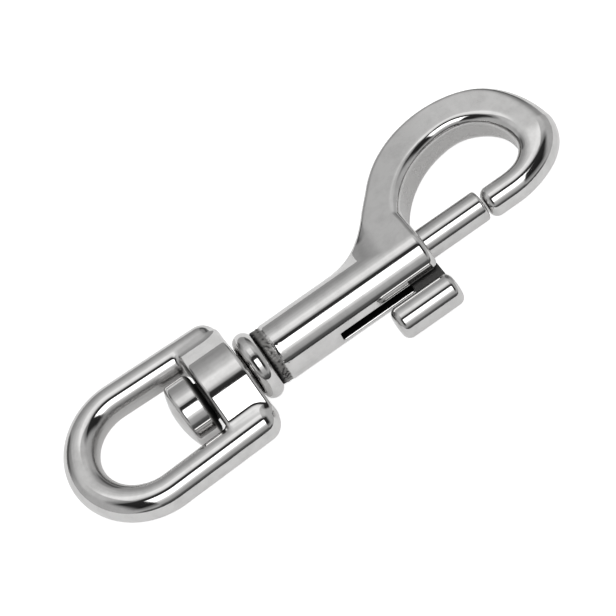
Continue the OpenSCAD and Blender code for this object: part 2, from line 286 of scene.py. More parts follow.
def steel(name, color, skin_color, polish, haze, wear, skin=None, turned=0.0):
    """A polished steel. The optional attribute named here marks unpolished zones and, past 1,
    painted shade.
    """
    material = bpy.data.materials.new(name)
    material.use_nodes = True
    tree = material.node_tree
    tree.nodes.clear()
    place = tree.nodes.new("ShaderNodeTexCoord").outputs["Object"]
    marks = put(tree, "ShaderNodeGroup", node_tree=polish_marks())
    tree.links.new(place, marks.inputs["Vector"])
    for label, value in (("Polish", polish), ("Haze", haze), ("Scratches", wear)):
        marks.inputs[label].default_value = value
    base = put(tree, "ShaderNodeMix", {6: (*color, 1.0), 7: (*skin_color, 1.0)},
               data_type="RGBA")
    stain = marks.outputs["Stain"]
    if skin:
        zone = put(tree, "ShaderNodeAttribute", attribute_name=skin).outputs["Fac"]
        as_cast = calc(tree, "MINIMUM", zone, 1.0)
        tree.links.new(as_cast, marks.inputs["Skin"])
        stain = calc(tree, "MAXIMUM", stain, calc(tree, "MULTIPLY", as_cast, 0.85))
    tree.links.new(stain, base.inputs[0])
    shade = base.outputs[2]
    if skin:
        # Past 1 the zone is painted shade, in a crevice, bore or gap, mixed towards near black
        painted_shade = calc(tree, "MULTIPLY", calc(tree, "SUBTRACT", zone, 1.0), 0.93)
        shade = put(tree, "ShaderNodeMix", {0: painted_shade, 6: shade, 7: PAINTED_SHADE_COLOR},
                    data_type="RGBA").outputs[2]
    height = marks.outputs["Height"]
    if turned:
        # Rings left by the lathe, across the piece's length
        laid = put(tree, "ShaderNodeMapping",
                   {"Vector": place, "Scale": (16000.0, 60.0, 60.0)}).outputs[0]
        rings = put(tree, "ShaderNodeTexNoise",
                    {"Vector": laid, "Scale": 1.0, "Detail": 3.0}).outputs["Fac"]
        height = calc(tree, "MULTIPLY_ADD", rings, turned, height)
    bump = put(tree, "ShaderNodeBump", {"Height": height, "Strength": 1.0,
                                        "Distance": 0.00002})
    shader = put(tree, "ShaderNodeBsdfPrincipled",
                 {"Base Color": shade, "Metallic": 1.0,
                  "Roughness": marks.outputs["Roughness"], "Normal": bump.outputs[0]})
    put(tree, "ShaderNodeOutputMaterial", {"Surface": shader.outputs[0]})
    return material


FINISHES = {}


def finish_named(name):
    """One of the hook's steels, made when it is first asked for."""
    if name not in FINISHES:
        if name in bpy.data.materials:
            raise RuntimeError(f"the packed model already has a material called {name}")
        FINISHES[name] = new_finish(name)
    return FINISHES[name]


def new_finish(name):
    """Makes one of the hook's steels."""
    f = bpy.context.scene.snap_hook_finish
    skin = tuple(f.skin)
    if name == "polished_casting":
        return steel(name, tuple(f.polished), skin, f.polish, f.haze, f.wear, "cast_skin")
    if name == "polished_turning":
        return steel(name, tuple(f.turned), skin, f.polish + 0.02, f.haze, f.wear,
                     "cast_skin", turned=0.05)
    return steel(name, tuple(f.wire), skin, 0.3, 0.2, 0.5)


# --- Castings ---------------------------------------------------------------
# A casting is a field: how far each place is outside its skin, in millimetres.


def soft_min(a, b, k):
    """The nearer of two bodies, run together over a width of about k."""
    h = np.maximum(k - np.abs(a - b), 0.0) / k
    return np.minimum(a, b) - h * h * k / 4


def soft_max(a, b, k):
    """What two bodies share, with an edge rounded over a width of about k."""
    return -soft_min(-a, -b, k)


def round_max(a, b, r):
    """What two bodies share, with an edge of radius r."""
    return np.minimum(np.maximum(a, b), -r) + np.hypot(np.maximum(a + r, 0.0),
                                                       np.maximum(b + r, 0.0))


def ramp(u):
    """Eases from 0 to 1."""
    v = np.clip(u, 0.0, 1.0)
    return v * v * (3 - 2 * v)


def slope_of(field, points):
    """The field's gradient at some points."""
    h = 0.004
    parts = []
    for i in range(3):
        step = np.zeros(3)
        step[i] = h
        parts.append((field(points + step) - field(points - step)) / (2 * h))
    return np.stack(parts, -1)


def cast(name, field, skin, node, step):
    """Meshes the surface where a field is zero, within a CAD node's box, and sets every
    corner right on it."""
    low, high = (corner - ORIGIN for corner in node_box(node))
    margin = 3 * step
    axes = [np.arange(a - margin, b + margin, step) for a, b in zip(low, high)]
    values = np.empty([len(a) for a in axes], np.float32)
    for i, x in enumerate(axes[0]):
        plane = np.stack(np.meshgrid([x], axes[1], axes[2], indexing="ij"), -1)
        values[i] = field(plane[0])
    values = np.clip(values, -margin, margin)
    grid = openvdb.FloatGrid(margin)
    grid.copyFromArray(values)
    points, quads = grid.convertToQuads(0.0)
    points = points.astype(float) * step + np.array([a[0] for a in axes])
    for _ in range(4):
        g = slope_of(field, points)
        off = field(points) / np.maximum((g * g).sum(-1), 0.05)
        points = points - g * np.clip(off, -step, step)[:, None]
    corners = points[quads.astype(np.int64)]
    across = np.cross(corners[:, 2] - corners[:, 0], corners[:, 3] - corners[:, 1])
    if (across * slope_of(field, corners.mean(1))).sum() < 0:
        quads = quads[:, ::-1]
    mesh = bpy.data.meshes.new(name)
    mesh.from_pydata(((points + ORIGIN) * MM).tolist(), [], quads.astype(int).tolist())
    mesh.polygons.foreach_set("use_smooth", np.ones(len(quads), bool))
    mark_skin(mesh, skin(points))
    mesh.update()
    return mesh


def mark_skin(mesh, zones):
    """Sets how far each corner of a mesh is left as cast, or darkened with painted shade."""
    zone = mesh.attributes.new("cast_skin", "FLOAT", "POINT")
    zone.data.foreach_set("value", zones.astype(np.float32))


def show(name, mesh, material, slot, body, *nodes):
    """Links a finished piece, in place of its CAD nodes, to ride on a body."""
    piece = bpy.data.objects.new(name, mesh)
    bpy.context.scene.collection.objects.link(piece)
    mesh.materials.clear()
    mesh.materials.append(finish_named(material))
    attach(piece, body)
    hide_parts(*nodes)
    return piece


def rod(x, away, x0, x1, r, edge0, edge1):
    """A round bar along X from x0 to x1, with its own rounding at each end."""
    middle = (x0 + x1) / 2
    edge = np.where(x > middle, edge1, edge0)
    return round_max(away - r, np.abs(x - middle) - (x1 - x0) / 2, edge)


def arc(centre, r, start, end, count):
    """Points along an arc, with its angles in radians."""
    t = np.linspace(start, end, count)
    return centre + r * np.stack([np.cos(t), np.sin(t)], -1)


class HookPlan:
    """The hook seen from above, on a fine sheet of squares: how far each place is from the
    outline, half the hook's thickness there, how round its edges are and if the nearest edge
    is an inner one. In millimetres, from the middle of the barrel's mouth face."""

    SQUARE = 0.1                    # side of a square of the sheet
    POINT_GAP = 0.04                # between points of the outline
    MOUTH_LEN = 20.4
    MOUTH_ROOT = 5.5                # height of the mouth's edge over the barrel's end
    HUB_IN = 7.3                    # hub of the mouth's round end, back from that end
    HUB_RISE = 6.3
    ARM_IN = 4.9                    # hub of the arm, back from the mouth's end
    NOSE_X = 11.0                   # the nose's flat end
    NOSE_EDGE = 1.3
    FOOT_EDGE = 1.2                 # edge radius where the mouth meets the barrel
    CROWN_TURN = math.radians(15)   # where the crown runs into the far side
    BACK_SLOPE = math.radians(50)   # how steeply the back comes down to the barrel
    ROOT_LEAN = math.radians(52)    # how far the faces lean at the root
    UNDER = -9.0                    # the outline closes here, below the barrel
    FAR_INNER, FAR_RIM = 0.5, 0.85  # share of the half width rounded on the far side

    def __init__(self, s):
        mm = {k: getattr(s, k) / MM for k in s.bl_rna.properties.keys()
              if isinstance(getattr(s, k), float)}
        self.mm = mm
        self.hub = np.array([self.MOUTH_LEN - self.HUB_IN, self.HUB_RISE])
        self.far_x = self.MOUTH_LEN + mm["side_w"]
        self.arm_x = self.MOUTH_LEN - self.ARM_IN
        self.wide = self.far_x - mm["side_w"] / 2 - self.arm_x
        self.crown_in = mm["hook_rise"] - mm["crown_w"]
        outline, inside = self.outline()
        self.measure(outline, inside)

    def arm_blend(self, turn):
        return ramp(turn / (math.pi / 2) * 1.25)

    def arm_edge(self, turn, side):
        """One edge of the arm that turns from the far side down to the nose."""
        w = self.mm["side_w"] / 2
        w = w + (self.mm["nose_d"] / 2 - w) * self.arm_blend(turn)
        middle = np.stack([self.arm_x + self.wide * np.cos(turn),
                           self.hub[1] - self.hub[1] * np.sin(turn)], -1)
        across = np.stack([np.cos(turn) / self.wide, -np.sin(turn) / self.hub[1]], -1)
        across /= np.linalg.norm(across, axis=-1, keepdims=True)
        return middle + side * w[:, None] * across

    def outline(self):
        """The closed outline, clockwise, as evenly spaced points, and which of them are on
        the inner edge."""
        mm, hub = self.mm, self.hub
        turn = self.CROWN_TURN
        back_c = np.array([hub[0] - 1, mm["hook_rise"] - mm["back_r"]])
        tangent = np.array([math.sin(turn), math.cos(turn)])
        round_r = (self.far_x - back_c[0] - mm["back_r"] * tangent[0]) / (1 - tangent[0])
        round_c = back_c + (mm["back_r"] - round_r) * tangent
        back_end = back_c + mm["back_r"] * np.array([-math.sin(self.BACK_SLOPE),
                                                     math.cos(self.BACK_SLOPE)])
        half_barrel = mm["barrel_d"] / 2
        run = mm["root_r"] * math.tan(self.BACK_SLOPE / 2)
        self.root_x = back_end[0] - (back_end[1] - half_barrel) / math.tan(self.BACK_SLOPE) - run
        root_c = np.array([self.root_x, half_barrel + mm["root_r"]])
        r = mm["nose_d"] / 2
        far_turn = math.asin((hub[1] - round_c[1]) / round_r)
        quarter = np.linspace(0, math.pi / 2, 400)
        outer = np.concatenate([
            [[self.root_x - 9, half_barrel - 0.02]],
            arc(root_c, mm["root_r"], -math.pi / 2, -math.pi / 2 + self.BACK_SLOPE, 200),
            arc(back_c, mm["back_r"], math.pi / 2 + self.BACK_SLOPE, math.pi / 2 - turn, 600),
            arc(round_c, round_r, math.pi / 2 - turn, far_turn, 600),
            self.arm_edge(quarter, 1),
            [[self.NOSE_X - 4, -r]],
        ])
        drop = self.crown_in - self.MOUTH_ROOT
        mouth_r = (hub[0] ** 2 + drop ** 2) / (2 * drop)
        mouth_c = np.array([hub[0], self.crown_in - mouth_r])
        mouth_end = math.pi - math.asin((self.MOUTH_ROOT - mouth_c[1]) / mouth_r)
        far, up = self.MOUTH_LEN - hub[0], self.crown_in - hub[1]
        inner = np.concatenate([
            [[self.NOSE_X - 4, r]],
            self.arm_edge(quarter[::-1], -1),
            hub + np.stack([far * np.cos(quarter), up * np.sin(quarter)], -1),
            arc(mouth_c, mouth_r, math.pi / 2, mouth_end, 500),
            [[0.0, self.UNDER], [self.root_x - 9, self.UNDER]],
        ])
        line = np.concatenate([outer, inner, outer[:1]])
        mark = np.concatenate([np.zeros(len(outer)), np.ones(len(inner)), [0]])
        keep = np.r_[True, np.linalg.norm(np.diff(line, axis=0), axis=1) > 1e-6]
        line, mark = line[keep], mark[keep]
        along = np.r_[0, np.cumsum(np.linalg.norm(np.diff(line, axis=0), axis=1))]
        even = np.arange(0, along[-1], self.POINT_GAP)
        points = np.stack([np.interp(even, along, line[:, i]) for i in (0, 1)], -1)
        return points, np.interp(even, along, mark) > 0.5

    def measure(self, line, inside):
        """Fills the sheet with distances from the outline, negative within it."""
        self.low = line.min(0) - 1.5
        size = np.ceil((line.max(0) + 1.5 - self.low) / self.SQUARE).astype(int) + 1
        xs = self.low[0] + self.SQUARE * np.arange(size[0])
        ys = self.low[1] + self.SQUARE * np.arange(size[1])
        places = np.stack(np.meshgrid(xs, ys, indexing="ij"), -1).reshape(-1, 2)
        tangent = np.roll(line, -1, 0) - np.roll(line, 1, 0)
        tangent /= np.linalg.norm(tangent, axis=1, keepdims=True)
        normal = np.stack([-tangent[:, 1], tangent[:, 0]], -1)
        nearest = np.empty(len(places), np.int64)
        l2 = (line * line).sum(1)
        for i in range(0, len(places), 8000):
            part = places[i:i + 8000]
            nearest[i:i + 8000] = np.argmin(l2 - 2 * part @ line.T, axis=1)
        away = places - line[nearest]
        straight = (away * normal[nearest]).sum(1)
        distance = np.linalg.norm(away, axis=1)
        within = np.zeros(len(places), bool)
        coarse = line[::8]
        for a, b in zip(coarse, np.roll(coarse, -1, 0)):
            crosses = (a[1] > places[:, 1]) != (b[1] > places[:, 1])
            if a[1] != b[1]:
                at = a[0] + (places[:, 1] - a[1]) * (b[0] - a[0]) / (b[1] - a[1])
                within ^= crosses & (places[:, 0] < at)
        signed = np.where(within, -distance, distance)
        close = (distance < 0.3) & (np.abs(np.abs(straight) - distance) < 0.02)
        signed = np.where(close, straight, signed)
        x, y = places.T
        inner = inside[nearest]
        self.tables = [t.reshape(size) for t in
                       (signed, self.half(x, y), self.edge(x, y, inner), inner * 1.0)]
        self.size = size

    def half(self, x, y):
        """Half the hook's thickness."""
        mm = self.mm
        # The face leaves the barrel as a tangent plane, which leans more and more towards
        # the root, where it ends as the barrel's own side
        r = mm["barrel_d"] / 2
        flat = math.atan((r - mm["crown_t"] / 2) / (mm["hook_rise"] + 0.4))
        lean = flat + (self.ROOT_LEAN - flat) * (1 - ramp((x - self.root_x + 1) / 11))
        plane = r / np.cos(lean) - np.tan(lean) * y
        crown = mm["crown_t"] / 2
        thick = (1 - ramp((x - 2) / 14)) * np.where(x > 4, ramp((y - 3) / 4), 1.0)
        web = crown + (plane - crown) * thick
        ball = np.sqrt(np.maximum(r * r - y * y, 0.01)) - 0.01
        web = np.where((x < 4) & (y < r * np.sin(lean)), ball, web)
        blend = self.arm_blend(self.arm_turn(x, y))
        return web + (mm["nose_d"] / 2 - mm["crown_t"] / 2) * blend

    def arm_turn(self, x, y):
        """How far round the arm a place is, from 0 at the far side."""
        down = np.maximum(self.hub[1] - y, 0) / self.hub[1]
        turn = np.arctan2(down, np.maximum((x - self.arm_x) / self.wide, 1e-6))
        return np.where((y < self.hub[1]) & (x > 6), turn, 0.0)

    def edge(self, x, y, inside):
        """Radius of the hook's edges."""
        mm = self.mm
        side = mm["side_w"] / 2 - 0.25
        plain = np.where(inside, mm["inner_r"], mm["rim_r"])
        turn = np.degrees(np.arctan2(y - self.hub[1], x - self.hub[0]))
        fade = np.where(turn > -90, ramp(1 - turn / 60), 0.0)
        r = plain + (side - plain) * np.where(inside, self.FAR_INNER, self.FAR_RIM) * fade
        # The mouth's edge goes over to the barrel's own at its foot
        r = np.where(inside & (x < 4), r + (self.FOOT_EDGE - r) * (1 - ramp((y - 3.5) / 5)), r)
        blend = self.arm_blend(self.arm_turn(x, y))
        r = r + (mm["nose_d"] / 2 - r) * blend
        return np.clip(self.half(x, y) - 0.01, 0.02, r)

    def at(self, x, y):
        """The tables' values at any places: distance, half thickness, edge, inner edge."""
        u = np.clip((x - self.low[0]) / self.SQUARE, 0, self.size[0] - 1.001)
        v = np.clip((y - self.low[1]) / self.SQUARE, 0, self.size[1] - 1.001)
        i, j = u.astype(int), v.astype(int)
        u, v = u - i, v - j
        return [(t[i, j] * (1 - u) + t[i + 1, j] * u) * (1 - v)
                + (t[i, j + 1] * (1 - u) + t[i + 1, j + 1] * u) * v for t in self.tables]


def hook_field(s, t):
    """The casting of barrel, neck and hook, with its bores and its slot."""
    plan = HookPlan(s)
    mm = plan.mm
    bolt_y = (BOLT_LOW[1] + BOLT_HIGH[1]) / 2 - AXIS_Y
    bolt_bore = t.bolt_d / MM / 2 + t.run_fit / MM
    pin_bore = t.pin_d / MM / 2 + 0.01
    pin_end = PIN_HIGH[0] - MOUTH_X

    def field(p):
        x, y, z = p[..., 0], p[..., 1], p[..., 2]
        flat, half, edge, _ = plan.at(x, y)
        web = round_max(flat, np.abs(z) - half, edge)
        # Only the arm is cut off at the nose, not the web that is as far back
        arm = (y < 3.9) & (x > 5) & (x < plan.arm_x)
        web = np.where(arm, round_max(web, plan.NOSE_X - x, plan.NOSE_EDGE), web)
        away = np.hypot(y, z)
        barrel = rod(x, away, -mm["barrel_len"], 0.0, mm["barrel_d"] / 2,
                     0.45, plan.FOOT_EDGE)
        neck = rod(x, away, -mm["barrel_len"] - mm["neck_len"], 1 - mm["barrel_len"],
                   mm["neck_d"] / 2, 0.02, 0.02)
        # The outline closes below the barrel, but the web stops at the barrel's middle
        web = np.where(x < 5, np.maximum(web, -0.3 - y), web)
        body = np.minimum(barrel, web)
        # The neck is left uneven, as it was cast
        rough = 0.10 * (np.sin(9.1 * y + 4.3 * x) * np.sin(8.3 * z - 5.9 * x)
                        + 0.6 * np.sin(17.0 * y - 3.0) * np.sin(15.0 * z + 8.0 * x))
        body = soft_min(body, neck + rough, 0.2)
        bore = np.maximum(np.hypot(y - bolt_y, z) - bolt_bore,
                          np.maximum(pin_end - 0.5 - x, x - 2))
        seat = np.maximum(away - pin_bore, x - pin_end)
        slot = np.maximum(np.maximum(np.abs(z) - mm["slot_w"] / 2, y),
                          np.maximum(-mm["slot_len"] - x, x - 2))
        hollow = np.minimum(np.minimum(bore, slot), seat)
        return soft_max(body, -hollow, 0.3)

    def skin(p):
        """Left as cast: the neck, the insides and the mouth's wall, with painted shade in the
        bores, in the slot, in the crevice by the bead and partly on the mouth's wall.
        """
        x, y, z = p.T
        away = np.hypot(y, z)
        neck = ramp((-mm["barrel_len"] + 0.1 - x) / 0.25)
        # The neck is left as cast, its pits darkened at random, and the crevice next to the bead
        # carries painted shade
        pits = (np.sin(4.3 * y + 3.1 * x + 1.7 * np.sin(2.3 * z + 0.6))
                * np.sin(3.7 * z - 4.9 * x + 1.4 * np.sin(3.1 * y)))
        crevice_shade = 1 - ramp((x + mm["barrel_len"] + mm["neck_len"] - 0.15) / 0.4)
        neck = neck * (1 + np.maximum(ramp(pits * 1.6 - 0.5), crevice_shade))
        # Painted shade in the barrel's bores and in its slot
        bore = BORE_PAINTED_SHADE * ramp((mm["barrel_d"] / 2 - 0.45 - away) / 0.3) * (x < -0.4)
        in_slot = (y < 0) * (np.abs(z) < mm["slot_w"] / 2 + 0.02) * (away < 4.5) * (x < -0.3)
        # The mouth's wall is left duller and darker, partly as unpolished skin and partly as
        # painted shade
        flat, half, edge, inner = plan.at(x, y)
        wall = MOUTH_SKIN_AND_SHADE * inner * ramp((half - 0.7 * edge - np.abs(z)) / 0.5)
        wall = wall * ramp((flat + 0.6) / 0.4) * (x > 0.3)
        return np.maximum(np.maximum(neck, bore), np.maximum(in_slot * SLOT_PAINTED_SHADE, wall))

    return field, skin


def eye_field(s, t):
    """The casting of the swivel eye: a bow with two sides run into a crowned cross bar."""
    r = s.wire_d / MM / 2
    bow_r = s.bow_r / MM
    bow_x = EYE_LOW[0] - MOUTH_X + r + bow_r
    front = EYE_HIGH[0] - MOUTH_X
    back = front - s.bar_w / MM
    start = np.array([bow_x + bow_r * math.sin(s.lean), bow_r * math.cos(s.lean)])
    run = np.array([math.cos(s.lean), -math.sin(s.lean)])
    side = (front - start[0]) / run[0] - r
    top = EYE_HIGH[2] - AXIS_Z
    crown_r = 8.5
    crown_y = crown_r * math.sin(math.radians(25))
    crown_z = top - crown_r + crown_r * math.cos(math.radians(25))
    rail_y = bow_r - (front - bow_x) * math.tan(s.lean)
    flank = ((r - 0.45) - crown_z) / (rail_y - 0.5 - crown_y)
    bore = t.pin_d / MM / 2 + t.run_fit / MM

    def field(p):
        x, y, z = p[..., 0], np.abs(p[..., 1]), p[..., 2]
        bow = np.abs(np.hypot(x - bow_x, y) - bow_r)
        along = np.clip((x - start[0]) * run[0] + (y - start[1]) * run[1], 0, side)
        leg = np.hypot(x - start[0] - along * run[0], y - start[1] - along * run[1])
        turn = (x - start[0]) * run[0] + (y - start[1]) * run[1]
        line = np.where(turn < 0, bow, leg)
        ring = np.hypot(line, z) - r
        arch = top - crown_r + np.sqrt(np.maximum(crown_r ** 2 - y ** 2, 1.0))
        height = np.where(y < crown_y, arch, crown_z + flank * (y - crown_y))
        over = (np.abs(z) - height) * 0.9
        over = round_max(over, y - rail_y, 0.8)
        block = round_max(over, np.abs(x - (front + back) / 2) - (front - back) / 2,
                          s.bar_edge / MM)
        body = soft_min(ring, block, s.corner / MM)
        hole = np.maximum(np.hypot(p[..., 1], z) - bore, back - 1 - x)
        return soft_max(body, -hole, 0.3)

    def skin(p):
        away = np.hypot(p[:, 1], p[:, 2])
        hole = ramp((bore + 0.25 - away) / 0.2) * (p[:, 0] > back) * (p[:, 0] < front)
        # Painted shade on the cross bar's back face, round the pin behind its head
        behind = ramp((back + 0.35 - p[:, 0]) / 0.3) * ramp((p[:, 0] - back + 0.3) / 0.2)
        behind = behind * ramp((7.0 - away) / 1.6)
        # The inside of the bow is left duller and darker, partly as unpolished skin and partly
        # as painted shade
        x, y = p[:, 0], np.abs(p[:, 1])
        within = np.where(x < start[0], bow_r - np.hypot(x - bow_x, y),
                          start[1] + (x - start[0]) * run[1] / run[0] - y)
        wall = BOW_SKIN_AND_SHADE * ramp((within / r - 0.5) / 0.35) * (x < back)
        return np.maximum(np.maximum(hole, BAR_PAINTED_SHADE * behind), wall)

    return field, skin


def collar_field(t):
    """The collar bead, a full round with the pin's bore through it."""
    low, high = COLLAR_LOW[0] - MOUTH_X, COLLAR_HIGH[0] - MOUTH_X
    r = (COLLAR_HIGH[1] - COLLAR_LOW[1]) / 2
    bead = (high - low) / 2
    bore = t.pin_d / MM / 2 + t.run_fit / MM

    def field(p):
        away = np.hypot(p[..., 1], p[..., 2])
        body = rod(p[..., 0], away, low, high, r, bead - 0.02, bead - 0.02)
        return soft_max(body, bore - away, 0.2)

    def skin(p):
        return ramp((4.3 - np.hypot(p[:, 1], p[:, 2])) / 0.4)

    return field, skin


def pin_field(t):
    """The headed swivel pin, turned from one piece."""
    head_back = PIN_LOW[0] - MOUTH_X + t.head_dome / MM
    head_front = head_back + t.head_t / MM
    head_r = (PIN_HIGH[1] - PIN_LOW[1]) / 2
    dome = t.head_dome / MM
    dome_r = (head_r ** 2 + dome ** 2) / (2 * dome)
    end = PIN_HIGH[0] - MOUTH_X

    def field(p):
        x = p[..., 0]
        away = np.hypot(p[..., 1], p[..., 2])
        face = np.hypot(x - (head_back - dome + dome_r), away) - dome_r
        side = round_max(away - head_r, x - head_front, t.head_edge / MM)
        head = round_max(side, face, 0.4)
        shank = rod(x, away, head_front - 1, end, t.pin_d / MM / 2, 0.05, 0.4)
        return soft_min(head, shank, 0.3)

    def skin(p):
        """Painted shade where the head faces the bar, and unpolished along the shank."""
        x, away = p[:, 0], np.hypot(p[:, 1], p[:, 2])
        # Painted shade on the head's face towards the cross bar
        gap = HEAD_PAINTED_SHADE * ramp((x - head_front + 1.0) / 0.6) * (x < head_front + 1.0)
        shank = ramp((x - head_front - 0.05) / 0.2) * (away < head_r - 1)
        return np.maximum(gap, shank)

    return field, skin


# --- Geometry node trees ----------------------------------------------------


def round_x(tree, start, x, away, angle):
    """A place that lies x along from a start and is turned by an angle round X."""
    place = put(tree, "ShaderNodeCombineXYZ",
                {"X": x, "Y": calc(tree, "MULTIPLY", away, calc(tree, "COSINE", angle)),
                 "Z": calc(tree, "MULTIPLY", away, calc(tree, "SINE", angle))}).outputs[0]
    return put(tree, "ShaderNodeVectorMath", {0: place, 1: start},
               operation="ADD").outputs[0]


def coil_tree():
    """Geometry Nodes: a compression spring along +X, with closed end turns."""
    tree, given = new_tree(
        "Coil Spring", "GeometryNodeTree", {"Geometry": "Geometry"},
        {"Start": "Vector", "Length": 0.0175, "Coil Diameter": 0.0039,
         "Wire Diameter": 0.0005, "Turns": 8, "Points per Turn": 48,
         "Material": "Material"})
    turns = given["Turns"]
    line = put(tree, "GeometryNodeCurvePrimitiveLine", {"End": (1.0, 0.0, 0.0)})
    count = calc(tree, "MULTIPLY", turns, given["Points per Turn"])
    line = put(tree, "GeometryNodeResampleCurve", {"Curve": line.outputs[0], "Count": count})
    share_done = tree.nodes.new("GeometryNodeSplineParameter").outputs["Factor"]
    at = calc(tree, "MULTIPLY", share_done, turns)
    angle = calc(tree, "MULTIPLY", at, 2 * math.pi)
    closed = calc(tree, "MULTIPLY", given["Wire Diameter"], 1.04)
    inner = calc(tree, "SUBTRACT", given["Length"], given["Wire Diameter"])
    open_run = calc(tree, "MULTIPLY_ADD", closed, -2.0, inner)
    first = calc(tree, "MINIMUM", at, 1.0)
    last = calc(tree, "MAXIMUM", calc(tree, "SUBTRACT", calc(tree, "ADD", at, 1.0), turns), 0.0)
    middle = calc(tree, "DIVIDE", calc(tree, "SUBTRACT", at, 1.0),
                  calc(tree, "SUBTRACT", turns, 2.0))
    middle = calc(tree, "MAXIMUM", calc(tree, "MINIMUM", middle, 1.0), 0.0)
    x = calc(tree, "MULTIPLY", closed, calc(tree, "ADD", first, last))
    x = calc(tree, "MULTIPLY_ADD", open_run, middle, x)
    x = calc(tree, "MULTIPLY_ADD", given["Wire Diameter"], 0.5, x)
    radius = calc(tree, "MULTIPLY", given["Coil Diameter"], 0.5)
    coil = put(tree, "GeometryNodeSetPosition",
               {"Geometry": line.outputs[0],
                "Position": round_x(tree, given["Start"], x, radius, angle)})
    wire = put(tree, "GeometryNodeCurvePrimitiveCircle",
               {"Resolution": 20, "Radius": calc(tree, "MULTIPLY", given["Wire Diameter"], 0.5)})
    wound = put(tree, "GeometryNodeCurveToMesh",
                {"Curve": coil.outputs[0], "Profile Curve": wire.outputs[0],
                 "Fill Caps": True})
    end_tree(tree, wound.outputs[0], given["Material"])
    return tree


def turned_tree():
    """Geometry Nodes: a round bar along +X, revolved from a profile with filleted ends."""
    tree, given = new_tree(
        "Turned Bar", "GeometryNodeTree", {"Geometry": "Geometry"},
        {"Start": "Vector", "Length": 0.01, "Diameter": 0.005, "Back Edge": 0.0003,
         "Front Edge": 0.0005, "Rings": 190, "Sides": 128, "Material": "Material"})
    radius = calc(tree, "MULTIPLY", given["Diameter"], 0.5)
    # The profile goes out along one end, along the side, and back in along the other end
    corners = put(tree, "GeometryNodeResampleCurve",
                  {"Curve": put(tree, "GeometryNodeCurvePrimitiveLine",
                                {"End": (1.0, 0.0, 0.0)}).outputs[0], "Count": 4})
    index = tree.nodes.new("GeometryNodeInputIndex").outputs[0]
    past_side = calc(tree, "GREATER_THAN", index, 1.5)
    outside = calc(tree, "LESS_THAN", calc(tree, "ABSOLUTE",
                                           calc(tree, "SUBTRACT", index, 1.5)), 1.0)
    spot = put(tree, "ShaderNodeCombineXYZ",
               {"X": calc(tree, "MULTIPLY", past_side, given["Length"]),
                "Y": calc(tree, "MULTIPLY", outside, radius)}).outputs[0]
    profile = put(tree, "GeometryNodeSetPosition",
                  {"Geometry": corners.outputs[0], "Position": spot})
    edge = put(tree, "ShaderNodeMix", {0: past_side, 2: given["Back Edge"],
                                       3: given["Front Edge"]}, data_type="FLOAT").outputs[0]
    profile = put(tree, "GeometryNodeFilletCurve",
                  {"Curve": profile.outputs[0], "Radius": edge, "Count": 16}, mode="POLY")
    sheet = put(tree, "GeometryNodeMeshGrid",
                {"Size X": 1.0, "Size Y": 1.0, "Vertices X": given["Rings"],
                 "Vertices Y": given["Sides"]})
    at = put(tree, "ShaderNodeSeparateXYZ",
             {0: tree.nodes.new("GeometryNodeInputPosition").outputs[0]}).outputs
    on_profile = put(tree, "GeometryNodeSampleCurve",
                     {"Curves": profile.outputs[0], "Factor": calc(tree, "ADD", at["X"], 0.5)},
                     mode="FACTOR", use_all_curves=True)
    drawn = put(tree, "ShaderNodeSeparateXYZ", {0: on_profile.outputs["Position"]}).outputs
    angle = calc(tree, "MULTIPLY", calc(tree, "ADD", at["Y"], 0.5), 2 * math.pi)
    turned = put(tree, "GeometryNodeSetPosition",
                 {"Geometry": sheet.outputs[0],
                  "Position": round_x(tree, given["Start"], drawn["X"], drawn["Y"], angle)})
    welded = put(tree, "GeometryNodeMergeByDistance",
                 {"Geometry": turned.outputs[0], "Distance": 1e-7})
    end_tree(tree, welded.outputs[0], given["Material"])
    return tree


def end_tree(tree, geometry, material):
    """Smooth, real geometry with its material."""
    smooth = put(tree, "GeometryNodeSetShadeSmooth", {"Geometry": geometry})
    real = put(tree, "GeometryNodeRealizeInstances", {"Geometry": smooth.outputs[0]})
    made = put(tree, "GeometryNodeSetMaterial",
               {"Geometry": real.outputs[0], "Material": material})
    put(tree, "NodeGroupOutput", {0: made.outputs[0]})


def grow(tree, name, **values):
    """Runs a geometry tree with some inputs, and returns what it makes as a plain mesh."""
    maker = bpy.data.objects.new(name, bpy.data.meshes.new(name))
    bpy.context.scene.collection.objects.link(maker)
    modifier = maker.modifiers.new("Make", "NODES")
    modifier.node_group = tree
    for item in tree.interface.items_tree:
        key = item.name.lower().replace(" ", "_")
        if item.in_out == "INPUT" and key in values:
            modifier[item.identifier] = values[key]
    depsgraph = bpy.context.evaluated_depsgraph_get()
    mesh = bpy.data.meshes.new_from_object(maker.evaluated_get(depsgraph),
                                           depsgraph=depsgraph)
    modifier.node_group = None
    bpy.data.objects.remove(maker)
    if not mesh.polygons:
        raise RuntimeError(f"{tree.name} made nothing for {name}")
    mesh.name = name
    return face_out(mesh)


def face_out(mesh):
    """Turns a closed mesh right side out if its faces point inwards."""
    work = bmesh.new()
    work.from_mesh(mesh)
    bmesh.ops.recalc_face_normals(work, faces=work.faces)
    if work.calc_volume(signed=True) < 0:
        bmesh.ops.reverse_faces(work, faces=work.faces)
    work.to_mesh(mesh)
    work.free()
    return mesh


def block(name, low, high, edge):
    """A mesh block between two corners in millimetres, with bevelled edges."""
    work = bmesh.new()
    bmesh.ops.create_cube(work, size=1.0)
    low, high = np.array(low), np.array(high)
    for vertex in work.verts:
        vertex.co = Vector(((np.array(vertex.co) + 0.5) * (high - low) + low) * MM)
    if edge:
        bmesh.ops.bevel(work, geom=work.edges, offset=edge * MM, segments=3,
                        profile=0.5, affect="EDGES")
    mesh = bpy.data.meshes.new(name)
    work.to_mesh(mesh)
    work.free()
    return mesh


